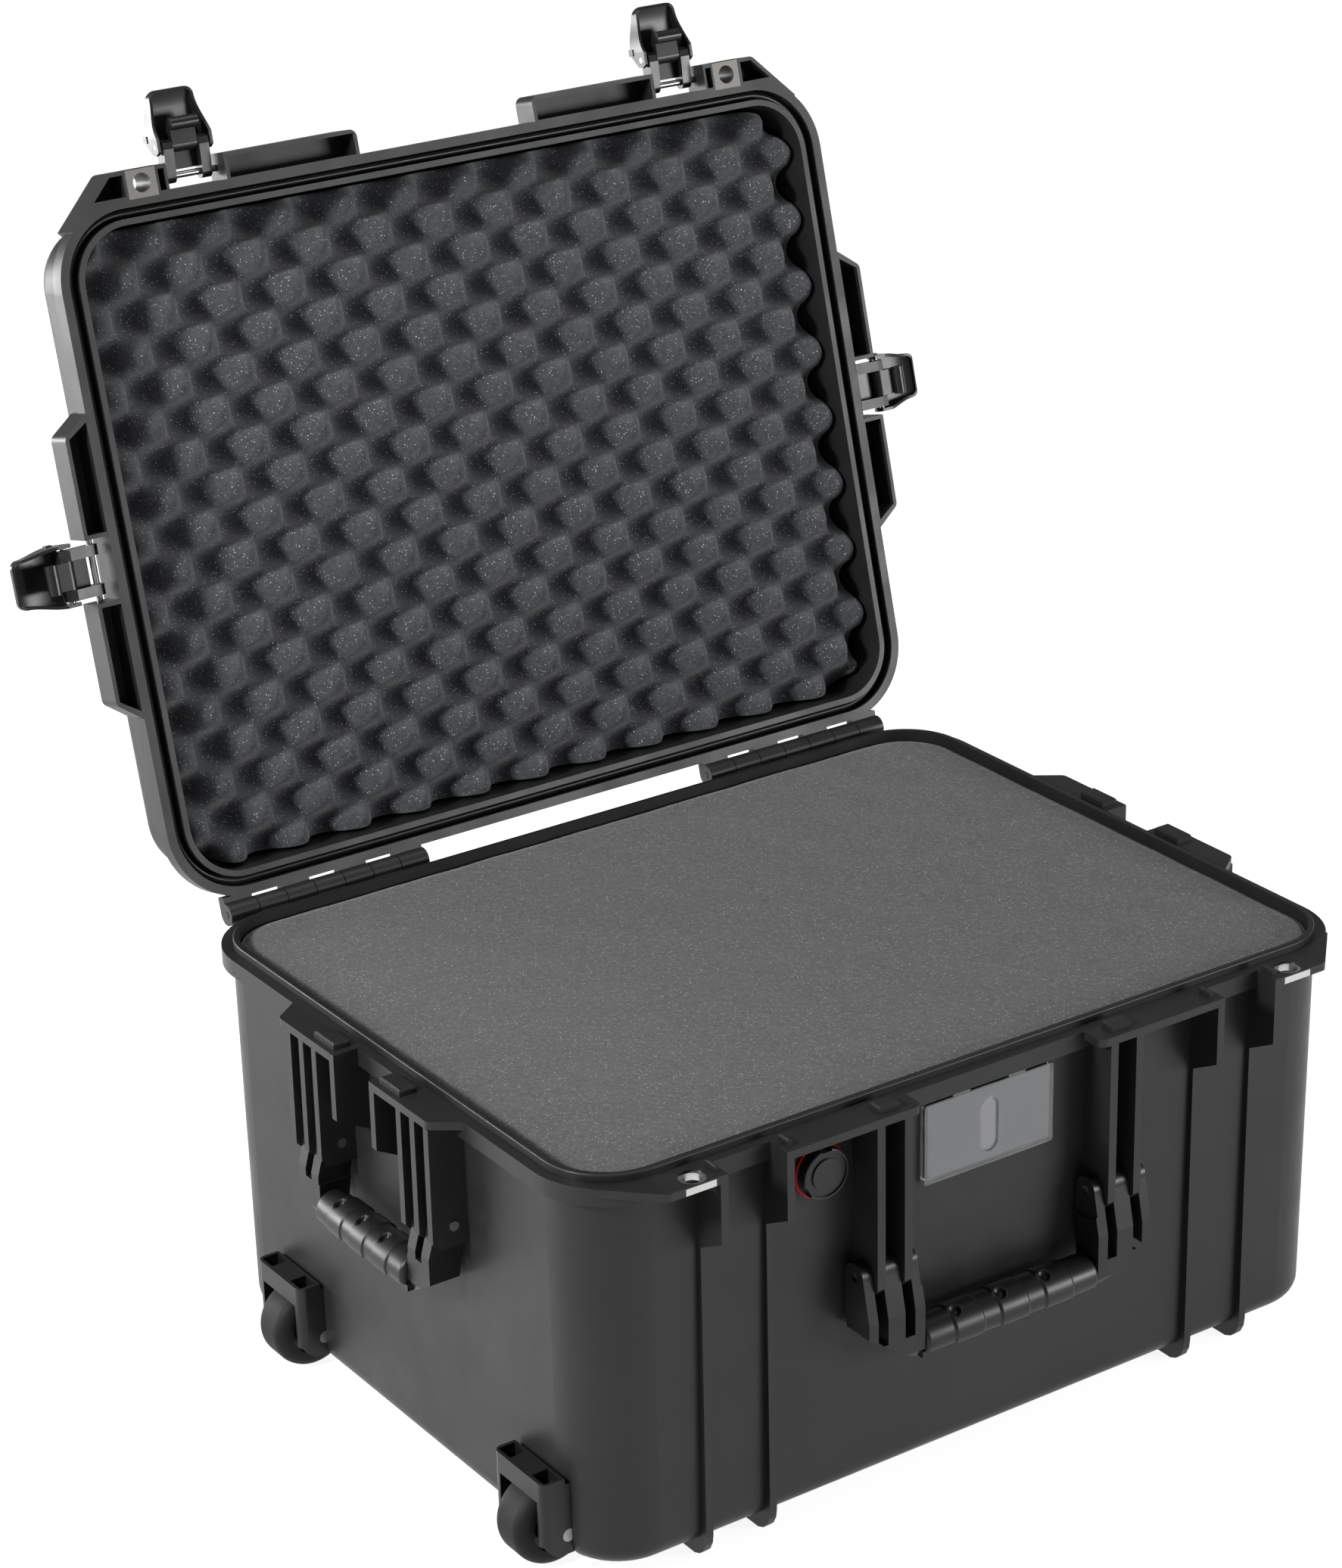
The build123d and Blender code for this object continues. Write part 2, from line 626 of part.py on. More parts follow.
def make_latch_lever():
    """Pull lever: a smooth scoop between two cheeks that reach to the link pin."""
    back = Spline((0, link_y - 3.0, 9.0), (0, link_y - 16, 9.4), (0, lever_tip + 6, 7.4),
                  (0, lever_tip, 4.6))
    nose = Polyline((0, lever_tip, 4.6), (0, lever_tip + 0.4, 2.2), (0, lever_tip + 2.0, 1.5))
    cheek = Spline((0, lever_tip + 2.0, 1.5), (0, lever_tip + 12, 0.6),
                   (0, lever_tip + 22, -2.4), (0, link_y - 5, -6.0))
    heel = Polyline((0, link_y - 5, -6.0), (0, link_y + 3, link_z - 4.8),
                    (0, link_y + 5.2, link_z - 1), (0, link_y + 4.2, link_z + 3.4),
                    (0, link_y - 3.0, 9.0))
    side_face = make_face(Wire([back, cheek] + list(nose.edges()) + list(heel.edges())))
    lever = Pos(-30, 0, 0) * extrude(side_face, amount=60, dir=(1, 0, 0))
    lever &= lever_plan(0.0)
    floor = Spline((0, lever_tip + 1.5, 3.4), (0, lever_tip + 9, 6.0),
                   (0, link_y - 13, 7.2), (0, link_y - 2.0, 6.6))
    below = Polyline((0, link_y - 2.0, 6.6), (0, link_y + 11, 8.2), (0, link_y + 11, -16),
                     (0, lever_tip + 1.5, -16), (0, lever_tip + 1.5, 3.4))
    hollow_face = make_face(Wire([floor] + list(below.edges())))
    hollow = Pos(-30, 0, 0) * extrude(hollow_face, amount=60, dir=(1, 0, 0))
    lever -= hollow & lever_plan(lever_wall)
    for side in (-1, 1):
        x0, x1 = sorted((side * 16.9, side * (latch_gap_half - 0.2)))
        lever += block(x0, x1, link_y - 7.5, link_y - 3.2, 6.0, 10.4)
    return lever - rod_x(link_pin_radius + running_clearance, -30, 30, link_y, link_z)


def make_link_pin():
    """Pin that joins lever and arm, with a short head showing at each cheek."""
    return rod_x(link_pin_radius, -cheek_out + 0.2, cheek_out - 0.2, link_y, link_z)


# ---------------------------------------------------------------- carrying handles
def front_pin(side):
    """Steel pin through the fins and prongs of one side of the front handle."""
    x0 = front_fin_offsets[0] - fin_thickness / 2 - 5.5
    x1 = front_fin_offsets[-1] + fin_thickness / 2 + 5.5
    a, b = sorted((side * x0, side * x1))
    return rod_x(handle_pin_radius, a, b, -pivot_y(True), parting_z - front_pivot_drop)


def end_pin(k, sign):
    """Steel pin through the three fins of one side of an end handle, drawn facing -Y."""
    x0 = end_fin_offsets[0] - end_fin_thickness / 2
    x1 = end_fin_offsets[-1] + end_fin_thickness / 2 + 0.8
    a, b = sorted((k * x0, k * x1))
    shift = -sign * end_handle_y
    return rod_x(handle_pin_radius, a + shift, b + shift, -pivot_y(False),
                 parting_z - end_pivot_drop)


def handle_prongs(front):
    """Spans of the prongs beside and between the fins, for one side."""
    offsets = front_fin_offsets if front else end_fin_offsets
    thickness = fin_thickness if front else end_fin_thickness
    reach = thickness / 2 + side_clearance
    spans = [(a + reach, b - reach) for a, b in zip(offsets, offsets[1:])]
    if front:
        spans.append((offsets[-1] + reach, offsets[-1] + reach + 6.5))
        spans.append((offsets[0] - reach - 6.0, offsets[0] - reach))
    return spans


def handle_sizes(front):
    """Drop and outward offset of the grip, and the lowest level of the frame."""
    drop = front_grip_drop if front else end_grip_drop
    out = front_grip_out if front else end_grip_out
    return drop, -out, -drop - 9.0


def make_handle_frame(front):
    """Hard frame of a swing handle, drawn at the origin with its pivot along X."""
    drop, grip_y, low = handle_sizes(front)
    spans = handle_prongs(front)
    inner = min(a for a, b in spans)
    outer = max(b for a, b in spans)
    offsets = front_fin_offsets if front else end_fin_offsets
    thickness = fin_thickness if front else end_fin_thickness
    reach = thickness / 2 + side_clearance
    eye = handle_eye_radius
    ring_radius = 17.4
    slot_low = -0.82 * drop if front else -0.62 * drop
    slant_run = 38.0 if front else 24.0
    slant_rise = 26.0 if front else 14.0
    arm_profile = [(-eye, 0), (eye, 0), (eye, -drop * 0.45), (eye - 3, -drop + 2), (eye - 5, low + 3),
                   (grip_y + 5, low), (grip_y - 4, low), (-handle_front_side, low + 7),
                   (-handle_front_side, -drop * 0.5)]
    frame = None
    for side in (-1, 1):
        for a, b in spans:
            x0, x1 = sorted((side * a, side * b))
            prong = plate_yz(arm_profile, x0, x1) + rod_x(eye, x0, x1, 0, 0)
            frame = prong if frame is None else frame + prong
        x0, x1 = sorted((side * (inner - 1.0), side * outer))
        frame += plate_yz(arm_profile, x0, x1) - rod_x(ring_radius, x0 - 1, x1 + 1, 0, 0)
        frame -= corner_wedge(side, outer, low, slant_run, slant_rise)
        for k in offsets:
            slot_x0, slot_x1 = sorted((side * (k - reach), side * (k + reach)))
            frame -= block(slot_x0, slot_x1, -30, 20, slot_low, 20)
    frame += block(-inner, inner, grip_y - 8.5, grip_y + 8.5, low, low + 4.0)
    frame += rod_x(7.0, -inner - 2, inner + 2, grip_y, -drop)
    frame += block(-inner, inner, grip_y - 2.5, grip_y + 2.5, low + 2, -drop)
    frame -= rod_x(handle_pin_radius + running_clearance, -outer - 5, outer + 5, 0, 0)
    return frame


def corner_wedge(side, outer, low, run, rise):
    """Cutting wedge that slants the lower outer corner of a handle frame."""
    points = [(side * (outer + 1), -40.0, low - 1), (side * (outer - run), -40.0, low - 1),
              (side * (outer + 1), -40.0, low + rise)]
    face = make_face(Polyline(*points, close=True))
    return extrude(face, amount=80, dir=(0, 1, 0))


def make_handle_grip(front):
    """Soft sleeve moulded round the rail, thicker in three raised bands."""
    drop, grip_y, low = handle_sizes(front)
    half = min(a for a, b in handle_prongs(front)) - 1.6
    grip = rod_x(grip_radius - 1.0, -half, half, grip_y, -drop)
    band = half * 0.16
    for x in (-half * 0.55, 0.0, half * 0.55):
        grip += rod_x(grip_radius, x - band, x + band, grip_y, -drop)
    grip -= rod_x(7.0, -half - 5, half + 5, grip_y, -drop)
    grip -= block(-half - 5, half + 5, grip_y - 2.5, grip_y + 2.5, low - 5, -drop)
    grip -= block(-half - 5, half + 5, grip_y - 20, grip_y + 20, low - 20, low + 4.0)
    return grip


def handle_place(name):
    """Place of a handle: its pivot, and the turn that makes it face outwards."""
    if name == "front":
        return Pos(0, -pivot_y(True), parting_z - front_pivot_drop)
    z = parting_z - end_pivot_drop
    if name == "left":
        return Rot(0, 0, -90) * Pos(-end_handle_y, -pivot_y(False), z)
    return Rot(0, 0, 90) * Pos(end_handle_y, -pivot_y(False), z)


# ---------------------------------------------------------------- wheels
def make_wheel_housing(y):
    """Cassette that holds one wheel, with open pockets in its top."""
    top = wheel_z + housing_rise
    bottom = wheel_z - housing_fall
    out = wheel_x - wheel_inset - housing_proud
    back = housing_back
    head = block(out, wheel_x - 1.6, y - housing_half, y + housing_half, bottom, top)
    front_edges = head.edges().filter_by(Axis.Z).group_by(Axis.X)[0]
    head = fillet(front_edges, 5.0)
    frame = block(wheel_x - 4, back, y - housing_half, y + housing_half,
                  bottom, wheel_well_top - 0.3)
    body = frame + head
    body -= rod_y(wheel_radius + 3.0, y - housing_slot_half, y + housing_slot_half, wheel_x, wheel_z)
    body -= block(out - 1, back - 3, y - housing_slot_half, y + housing_slot_half,
                  bottom - 1, wheel_z + 4)
    body -= block(out - 1, wheel_x, y - housing_slot_half, y + housing_slot_half,
                  bottom - 1, wheel_z + 19)
    for k in (-1, 1):
        y0, y1 = sorted((y + k * 11.0, y + k * (housing_half - 2.2)))
        body -= block(out + 2.2, wheel_x - 3.4, y0, y1, top - 12, top + 1)
    cut = rod_y(housing_fall + 1.0, y - 40, y + 40, wheel_x - 2, wheel_z)
    lower = block(out - 2, wheel_x - 2, y - 40, y + 40, bottom - 2, wheel_z)
    body -= lower - cut - block(out - 2, wheel_x - 2, y - 40, y + 40, wheel_z - 4, wheel_z)
    body -= rod_y(axle_radius, y - 40, y + 40, wheel_x, wheel_z)
    for x, screw_y, z in housing_screw_points:
        if abs(screw_y - y) < housing_half:
            body -= rod_x(screw_radius, x - 12, x + 1, screw_y, z)
    return body


def make_wheel_hub(y):
    rim = rod_y(hub_radius, y - wheel_width / 2 + 2.5, y + wheel_width / 2 - 2.5, wheel_x, wheel_z)
    dish = [rod_y(hub_radius - 2.5, y + k * 6.5, y + k * wheel_width, wheel_x, wheel_z)
            for k in (-1, 1)]
    hub = rim
    for item in dish:
        hub -= item
    hub += rod_y(bearing_radius + 2.0, y - wheel_width / 2 + 2.5, y + wheel_width / 2 - 2.5,
                 wheel_x, wheel_z)
    for i in range(6):
        turn = Pos(wheel_x, y, wheel_z) * Rot(0, i * 60, 0)
        hub += turn * Pos(0, 0, (hub_radius + bearing_radius) / 2) * Box(
            3.0, wheel_width - 8, hub_radius - bearing_radius - 1.0)
    for k in (-1, 1):
        hub -= rod_y(bearing_radius, y + k * (wheel_width / 2 - 2.5 - bearing_width),
                     y + k * wheel_width, wheel_x, wheel_z)
    hub -= rod_y(axle_radius + 1.0, y - 30, y + 30, wheel_x, wheel_z)
    return hub


def make_wheel_tyre(y):
    tyre = rod_y(wheel_radius, y - wheel_width / 2, y + wheel_width / 2, wheel_x, wheel_z)
    rims = [e for e in tyre.edges() if e.geom_type == GeomType.CIRCLE]
    tyre = fillet(rims, 7.5)
    return tyre - rod_y(hub_radius, y - 40, y + 40, wheel_x, wheel_z)


def make_wheel_bearings(y):
    rings = []
    for k in (-1, 1):
        a = y + k * (wheel_width / 2 - 2.5 - bearing_width)
        b = y + k * (wheel_width / 2 - 2.5)
        ring = rod_y(bearing_radius, min(a, b), max(a, b), wheel_x, wheel_z)
        rings.append(ring - rod_y(axle_radius + running_clearance, y - 40, y + 40, wheel_x, wheel_z))
    return rings


def make_wheel_axle(y):
    """Axle held by the two legs, with spacers that keep the wheel in the middle."""
    reach = housing_half + 0.15
    axle = rod_y(axle_radius, y - reach, y + reach, wheel_x, wheel_z)
    for k in (-1, 1):
        a = y + k * (wheel_width / 2 - 2.5 + 0.3)
        b = y + k * housing_slot_half
        axle += rod_y(axle_radius + 2.4, min(a, b), max(a, b), wheel_x, wheel_z)
    return axle


# ---------------------------------------------------------------- pull handle
stage_radius = trolley_guide_radius - trolley_tube_wall - running_clearance
inner_radius = stage_radius - trolley_tube_wall - running_clearance
tube_start = -half_x + 40.0
tube_end = half_x - 4.0
collar_end = half_x + 0.6


def make_trolley_guides():
    tubes = []
    for y in (-trolley_tube_y, trolley_tube_y):
        tube = rod_x(trolley_guide_radius, tube_start, tube_end, y, trolley_axis_z)
        tube -= rod_x(trolley_guide_radius - trolley_tube_wall, tube_start + 3, tube_end + 1,
                      y, trolley_axis_z)
        tubes.append(tube)
    return tubes


def make_trolley_stage():
    """Middle stage: two tubes and the collar bridge that ties them at the front."""
    stage = None
    for y in (-trolley_tube_y, trolley_tube_y):
        tube = rod_x(stage_radius, tube_start + 4, collar_end + 3, y, trolley_axis_z)
        stage = tube if stage is None else stage + tube
    bridge = block(collar_end, collar_end + 4, -trolley_tube_y - 10, trolley_tube_y + 10,
                   trolley_axis_z - 9, trolley_axis_z + 9)
    bridge = fillet(bridge.edges().filter_by(Axis.X), 6.0)
    stage += bridge
    for y in (-trolley_tube_y, trolley_tube_y):
        stage -= rod_x(stage_radius - trolley_tube_wall, tube_start + 6, collar_end + 9,
                       y, trolley_axis_z)
    return stage


def make_trolley_inner():
    tubes = []
    for y in (-trolley_tube_y, trolley_tube_y):
        tube = rod_x(inner_radius, tube_start + 7, collar_end + 10, y, trolley_axis_z)
        tube -= rod_x(inner_radius - trolley_tube_wall, tube_start + 9, collar_end + 12,
                      y, trolley_axis_z)
        tubes.append(tube)
    return tubes


grip_start = collar_end + 4.4


def make_trolley_grip():
    end = grip_start + 16.5
    bar = block(grip_start, end, -trolley_tube_y - 14, trolley_tube_y + 14,
                trolley_axis_z - 12, trolley_axis_z + 12)
    bar = fillet(bar.edges().filter_by(Axis.X), 8.0)
    bar = fillet(bar.edges().group_by(Axis.X)[-1], 3.0)
    for y in (-trolley_tube_y, trolley_tube_y):
        bar -= rod_x(inner_radius, grip_start - 1, collar_end + 10, y, trolley_axis_z)
    bar -= block(grip_start - 1, grip_start + 7, -34, 34, trolley_axis_z - 7, trolley_axis_z + 7)
    bar -= block(grip_start + 6, end + 1, -16, 16, trolley_axis_z - 5, trolley_axis_z + 5)
    return bar


def make_trolley_button():
    end = grip_start + 16.5
    cap = block(grip_start + 4, end + 1.6, -15.6, 15.6, trolley_axis_z - 4.6, trolley_axis_z + 4.6)
    cap = fillet(cap.edges().filter_by(Axis.X), 3.0)
    foot = block(grip_start + 3.4, grip_start + 6.4, -18.5, 18.5,
                 trolley_axis_z - 4.6, trolley_axis_z + 4.6)
    return cap + foot


def make_trolley_cover():
    z1 = base_floor_z + trolley_cover_thickness
    plate = block(-half_x + 34.4, half_x - 14.4, -trolley_channel_half + 0.3,
                  trolley_channel_half - 0.3, base_floor_z, z1)
    plate = fillet(plate.edges().filter_by(Axis.Z), 4.0)
    for x, y in boss_points:
        plate -= rod_z(2.1, base_floor_z - 1, z1 + 1, x, y)
        plate -= rod_z(4.1, base_floor_z - 1, base_floor_z + 1.8, x, y)
    for y in (-42, 0, 42):
        plate -= block(-half_x + 60, half_x - 40, y - 2.5, y + 2.5, base_floor_z - 1,
                       base_floor_z + 1.0)
    return plate


def make_cover_screws():
    screws = []
    for x, y in boss_points:
        head = rod_z(3.9, base_floor_z + 0.2, base_floor_z + 1.8, x, y)
        shank = rod_z(1.6, base_floor_z + 1.0, base_floor_z + 13, x, y)
        slot = Pos(x, y, base_floor_z) * Box(4.4, 1.0, 1.4)
        cross = Pos(x, y, base_floor_z) * Box(1.0, 4.4, 1.4)
        screws.append(head + shank - slot - cross)
    return screws


def make_housing_screws():
    screws = []
    for x, y, z in housing_screw_points:
        head = rod_x(3.6, x + 3.6, x + 6.0, y, z)
        shank = rod_x(screw_radius, x - 10, x + 4, y, z)
        screws.append(head + shank)
    return screws


# ---------------------------------------------------------------- valve and card holder
valve_x = -119.5
valve_z = parting_z - 32.0
valve_radius = 15.6


def valve_bore():
    return rod_y(9.0, -half_y - 10, -half_y + 12, valve_x, valve_z)


def make_valve():
    """Body through the wall, red seal ring and the ribbed cap."""
    face = -half_y
    body = rod_y(9.0, face - 1.6, face + 9, valve_x, valve_z)
    body += rod_y(14.0, face + 4.9, face + 7.4, valve_x, valve_z)
    body -= rod_y(4.0, face + 2, face + 12, valve_x, valve_z)
    seal = rod_y(17.0, face - 1.6, face - 0.1, valve_x, valve_z)
    seal -= rod_y(9.0, face - 5, face + 5, valve_x, valve_z)
    cap = rod_y(valve_radius, face - 8.4, face - 1.6, valve_x, valve_z)
    cap = fillet([e for e in cap.edges() if e.center().Y < face - 8], 1.2)
    ring = rod_y(valve_radius - 2.2, face - 9, face - 7.4, valve_x, valve_z)
    ring -= rod_y(valve_radius - 6.0, face - 10, face - 6, valve_x, valve_z)
    cap -= ring
    for i in range(3):
        notch = Pos(valve_x, 0, valve_z) * Rot(0, 30 + i * 120, 0) * Pos(valve_radius, face - 7, 0)
        cap -= notch * Box(3.0, 6.0, 7.0)
    return body, seal, cap


card_x = -1.5
card_half = 46.5
card_top = parting_z - 15.0
card_bottom = parting_z - 65.0


def make_card_holder():
    """Clear sleeve on the front wall and the blank card inside it."""
    back = -half_y + 0.2
    front = -half_y - 3.4
    cover = block(card_x - card_half, card_x + card_half, front, back, card_bottom, card_top)
    cover = fillet(cover.edges().filter_by(Axis.Y), 2.0)
    cover -= tub_outside
    cover -= block(card_x - card_half + 2, card_x + card_half - 2, front + 1.0, back + 1,
                   card_bottom + 3, card_top + 1)
    slot = Pos(card_x, front, (card_top + card_bottom) / 2) * Rot(90, 0, 0) * SlotOverall(34, 13, rotation=90)
    cover -= extrude(slot, amount=4, both=True)
    for x in (-20.0, 20.0):
        cover += block(card_x + x - 6, card_x + x + 6, front, front + 1.0, card_top - 1, card_top + 3.2)
    card = block(card_x - card_half + 2.6, card_x + card_half - 2.6, front + 1.2, front + 1.7,
                 card_bottom + 3.4, card_top - 1)
    return cover, card


# ---------------------------------------------------------------- foam
def make_base_foam():
    """Four stacked layers that fill the lower shell to just under the rim."""
    floor = base_floor_z + wall + 0.2
    top = parting_z - foam_below_rim
    step = (top - floor) / len(foam_layers)
    hx = lower_hx - wall - foam_clearance
    hy = lower_hy - wall - foam_clearance
    stack = rounded(hx, hy, lower_radius - wall, floor, top, shell_draft)
    stack = fillet(stack.edges().group_by(Axis.Z)[0], floor_edge_radius - wall)
    for lump in wheel_wells(3.0 + foam_clearance) + [trolley_channel(3.0 + foam_clearance)]:
        stack -= lump
    for x, y, z in housing_screw_points:
        stack -= rod_x(5.0, x, x + 8, y, z)
    stack -= rod_y(15.0, -half_y, -half_y + 18, valve_x, valve_z)
    layers = []
    for i in range(len(foam_layers)):
        z0 = floor + i * step
        layers.append(stack & block(-400, 400, -300, 300, z0, z0 + step))
    return layers


def make_lid_foam():
    hx = inner_length / 2 - 5.0 - 2.0
    hy = inner_width / 2 - 5.0 - 2.0
    z0 = lid_z + 7.0
    z1 = parting_z + lid_height - lid_wall - 0.3
    pad = rounded(hx, hy, corner_radius - wall - 7.0, z0, z1, -2.0)
    return open_lid(pad)


# ---------------------------------------------------------------- build and write
print("base shell")
save("base_shell", make_base_shell())
for layer_name, layer in zip(foam_layers, make_base_foam()):
    save(layer_name, layer)
for side_name, side in (("left", -1), ("right", 1)):
    save(f"hasp_plate_base_{side_name}", make_hasp_plate_base(side))
    save(f"hasp_plate_lid_{side_name}", open_lid(make_hasp_plate_lid(side)))
    a, b = sorted((side * hinge_inner_x, side * hinge_outer_x))
    save(f"hinge_pin_{side_name}", rod_x(hinge_pin_radius, a, b, hinge_y, hinge_z))
valve_body, valve_seal, valve_cap = make_valve()
save("pressure_valve_body", valve_body)
save("pressure_valve_seal", valve_seal)
save("pressure_valve_cap", valve_cap)
holder, card = make_card_holder()
save("card_holder", holder)
save("name_card", card)

print("lid")
save("lid_shell", make_lid_shell())
save("lid_gasket", make_lid_gasket())
save("lid_foam", make_lid_foam())
save("latch_pivot_pins", [open_lid(pin) for pin in latch_pivot_pins()])

print("latches")
arm = make_latch_arm()
lever = make_latch_lever()
link = make_link_pin()
for latch_name, place in latch_places().items():
    save(f"latch_{latch_name}_arm", open_lid(place * arm))
    save(f"latch_{latch_name}_lever", open_lid(place * lever))
    save(f"latch_{latch_name}_link_pin", open_lid(place * link))

print("handles")
for handle_name in ("front", "left", "right"):
    is_front = handle_name == "front"
    place = handle_place(handle_name)
    save(f"handle_{handle_name}_frame", place * make_handle_frame(is_front))
    save(f"handle_{handle_name}_grip", place * make_handle_grip(is_front))
save("handle_front_pins", [front_pin(-1), front_pin(1)])
save("handle_left_pins", [to_left_end(end_pin(k, 1)) for k in (-1, 1)])
save("handle_right_pins", [to_right_end(end_pin(k, -1)) for k in (-1, 1)])

print("wheels")
for wheel_name, wheel_y in wheel_positions.items():
    save(f"wheel_housing_{wheel_name}", make_wheel_housing(wheel_y))
    save(f"wheel_{wheel_name}_axle", make_wheel_axle(wheel_y))
    save(f"wheel_{wheel_name}_hub", make_wheel_hub(wheel_y))
    save(f"wheel_{wheel_name}_tyre", make_wheel_tyre(wheel_y))
    save(f"wheel_{wheel_name}_bearings", make_wheel_bearings(wheel_y))
save("wheel_housing_screws", make_housing_screws())

print("pull handle")
save("trolley_guide_tubes", make_trolley_guides())
save("trolley_middle_stage", make_trolley_stage())
save("trolley_inner_tubes", make_trolley_inner())
save("trolley_grip", make_trolley_grip())
save("trolley_release_button", make_trolley_button())
save("trolley_cover", make_trolley_cover())
save("trolley_cover_screws", make_cover_screws())
write_nodes()
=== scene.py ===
"""Looks of the wheeled equipment case: moulded plastic, foam, metal, camera and light."""
import json
from math import cos, exp, hypot, pi, radians, sin

import bpy
from mathutils import Matrix, Vector, noise


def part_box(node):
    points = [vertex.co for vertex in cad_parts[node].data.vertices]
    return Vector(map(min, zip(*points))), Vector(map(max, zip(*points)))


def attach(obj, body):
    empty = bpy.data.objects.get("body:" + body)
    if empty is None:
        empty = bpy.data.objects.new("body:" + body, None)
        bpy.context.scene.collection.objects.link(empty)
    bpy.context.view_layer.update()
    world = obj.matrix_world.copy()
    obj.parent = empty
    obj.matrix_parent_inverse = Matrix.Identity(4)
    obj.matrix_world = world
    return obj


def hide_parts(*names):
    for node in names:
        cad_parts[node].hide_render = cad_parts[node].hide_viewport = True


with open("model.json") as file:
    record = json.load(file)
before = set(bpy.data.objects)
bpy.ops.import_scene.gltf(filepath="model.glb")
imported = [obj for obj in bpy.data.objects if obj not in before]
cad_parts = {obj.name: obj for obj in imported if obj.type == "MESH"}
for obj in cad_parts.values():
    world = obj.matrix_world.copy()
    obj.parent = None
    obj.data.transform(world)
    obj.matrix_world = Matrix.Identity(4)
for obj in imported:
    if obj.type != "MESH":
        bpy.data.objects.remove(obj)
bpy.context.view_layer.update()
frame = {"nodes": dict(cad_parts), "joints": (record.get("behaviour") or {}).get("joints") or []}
MM = 0.001
BLACK, WHITE = (0.0, 0.0, 0.0), (1.0, 1.0, 1.0)


# ---------------------------------------------------------------- materials
class Shader:
    """A Principled material and the few node recipes that the case needs."""

    def __init__(self, name, color, roughness, metallic=0.0, specular=0.5):
        self.material = bpy.data.materials.new(name)
        self.material.use_nodes = True
        self.tree = self.material.node_tree
        self.bsdf = self.tree.nodes["Principled BSDF"]
        self.bsdf.inputs["Metallic"].default_value = metallic
        self.bsdf.inputs["Specular IOR Level"].default_value = specular
        self.bsdf.inputs["Roughness"].default_value = roughness
        self.bsdf.inputs["Base Color"].default_value = (*color, 1.0)
        self.place = self.node("ShaderNodeTexCoord").outputs["Object"]
        self.color = None
        self.normal = None

    def node(self, kind, **settings):
        made = self.tree.nodes.new(kind)
        for key, value in settings.items():
            setattr(made, key, value)
        return made

    def link(self, out, into):
        self.tree.links.new(out, into)

    def noise(self, size, detail=2.0, stretch=(1, 1, 1), rough=0.5):
        """Noise whose features are about size metres across."""
        mapping = self.node("ShaderNodeMapping")
        mapping.inputs["Scale"].default_value = stretch
        self.link(self.place, mapping.inputs["Vector"])
        made = self.node("ShaderNodeTexNoise")
        made.inputs["Scale"].default_value = 1.0 / size
        made.inputs["Detail"].default_value = detail
        made.inputs["Roughness"].default_value = rough
        self.link(mapping.outputs["Vector"], made.inputs["Vector"])
        return made.outputs["Fac"]

    def ramp(self, value, low, high, color_low, color_high):
        """Colour that runs from color_low at value low to color_high at value high."""
        made = self.node("ShaderNodeValToRGB")
        first, last = made.color_ramp.elements
        first.position, last.position = low, high
        first.color = (*color_low, 1.0)
        last.color = (*color_high, 1.0)
        self.link(value, made.inputs["Fac"])
        return made.outputs["Color"]

    def mix(self, factor, a, b, blend="MIX"):
        """Blend of a and b; each of the three is an output or a plain value."""
        made = self.node("ShaderNodeMix", data_type="RGBA", blend_type=blend)
        factor_in, a_in, b_in = made.inputs[0], made.inputs[6], made.inputs[7]
        for value, socket in ((factor, factor_in), (a, a_in), (b, b_in)):
            if hasattr(value, "is_output"):
                self.link(value, socket)
            else:
                socket.default_value = value
        return made.outputs[2]

    def paint(self, color):
        """Makes an output the base colour, and keeps it for wear to build on."""
        self.color = color
        self.link(color, self.bsdf.inputs["Base Color"])

    def roughness(self, value, low, high, rough_low, rough_high):
        """Roughness that runs from rough_low at value low to rough_high at high."""
        made = self.node("ShaderNodeMapRange")
        for name, number in (("From Min", low), ("From Max", high),
                             ("To Min", rough_low), ("To Max", rough_high)):
            made.inputs[name].default_value = number
        self.link(value, made.inputs["Value"])
        self.link(made.outputs["Result"], self.bsdf.inputs["Roughness"])

    def bump(self, height, depth, strength=1.0):
        """Adds a bump layer whose full height is depth metres."""
        made = self.node("ShaderNodeBump")
        made.inputs["Strength"].default_value = strength
        made.inputs["Distance"].default_value = depth
        self.link(height, made.inputs["Height"])
        if self.normal is not None:
            self.link(self.normal, made.inputs["Normal"])
        self.normal = made.outputs["Normal"]
        self.link(self.normal, self.bsdf.inputs["Normal"])

    def wear(self, color, strength=0.5):
        """Lightens convex edges a little, as handling does."""
        geometry = self.node("ShaderNodeNewGeometry")
        edges = self.ramp(geometry.outputs["Pointiness"], 0.52, 0.58, BLACK, WHITE)
        patches = self.ramp(self.noise(0.02, 3.0), 0.35, 0.7, BLACK, (strength,) * 3)
        both = self.mix(1.0, edges, patches, "MULTIPLY")
        self.paint(self.mix(both, self.color, (*color, 1.0)))


